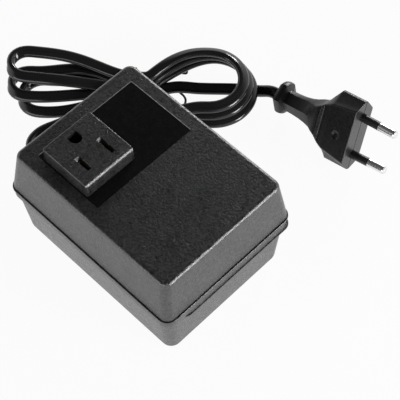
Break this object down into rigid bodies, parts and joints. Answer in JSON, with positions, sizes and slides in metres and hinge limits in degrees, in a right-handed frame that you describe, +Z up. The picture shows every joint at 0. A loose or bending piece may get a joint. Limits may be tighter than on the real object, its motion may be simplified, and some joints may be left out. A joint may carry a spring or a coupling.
{
  "type": "travel voltage converter",
  "caption": "Black step-down travel voltage converter: boxy two-part case with a raised outlet on top, a transformer inside, and a tied flat lead with a two-pin plug.",
  "frame": {"origin": "on the floor under the middle of the case", "axes": "+X across the case away from the outlet's corner, +Y along the case toward the lead, +Z up through the outlet"},
  "size_m": [0.1454, 0.1712, 0.0641],
  "materials": {
    "case_plastic": "fine spark-eroded texture",
    "inner_plastic": "satin",
    "label_film": "smooth film",
    "brass": "bright strip",
    "steel": "zinc plated",
    "lamination": "varnished silicon steel",
    "white_plastic": "satin",
    "enamelled_copper": "enamelled wire",
    "yellow_tape": "smooth tape",
    "fuse_body": "satin",
    "brown_wire": "satin",
    "blue_wire": "satin",
    "red_wire": "satin",
    "cord_vinyl": "satin soft vinyl",
    "tie_plastic": "satin",
    "pin_metal": "nickel plated",
    "sleeve_plastic": "satin"
  },
  "bodies": {
    "root": {"upper_shell": "case_plastic", "lower_shell": "case_plastic", "case_screws": "steel", "label_film": "label_film", "outlet_block": "case_plastic", "line_contact": "brass", "neutral_contact": "brass", "contact_cover": "inner_plastic", "cover_screws": "steel", "core_e": "lamination", "core_i": "lamination", "bobbin": "white_plastic", "winding": "enamelled_copper", "winding_tape": "yellow_tape", "bobbin_pins": "steel", "core_bolts": "steel", "core_nuts": "steel", "core_washers": "steel", "front_rail": "steel", "rear_rail": "steel", "rail_screws": "steel", "thermal_fuse": "fuse_body", "wire_line_in": "brown_wire", "wire_neutral_in": "blue_wire", "wire_fuse": "brown_wire", "wire_line_out": "red_wire", "wire_neutral_out": "blue_wire", "strain_relief": "cord_vinyl", "cord_inner": "cord_vinyl", "cord_clamp": "white_plastic", "clamp_screws": "steel", "cord_lead": "cord_vinyl", "cord_hank": "cord_vinyl", "cord_tail": "cord_vinyl", "cord_tie": "tie_plastic", "plug_body": "cord_vinyl", "plug_pins": "pin_metal", "pin_sleeves": "sleeve_plastic"}
  },
  "joints": []
}
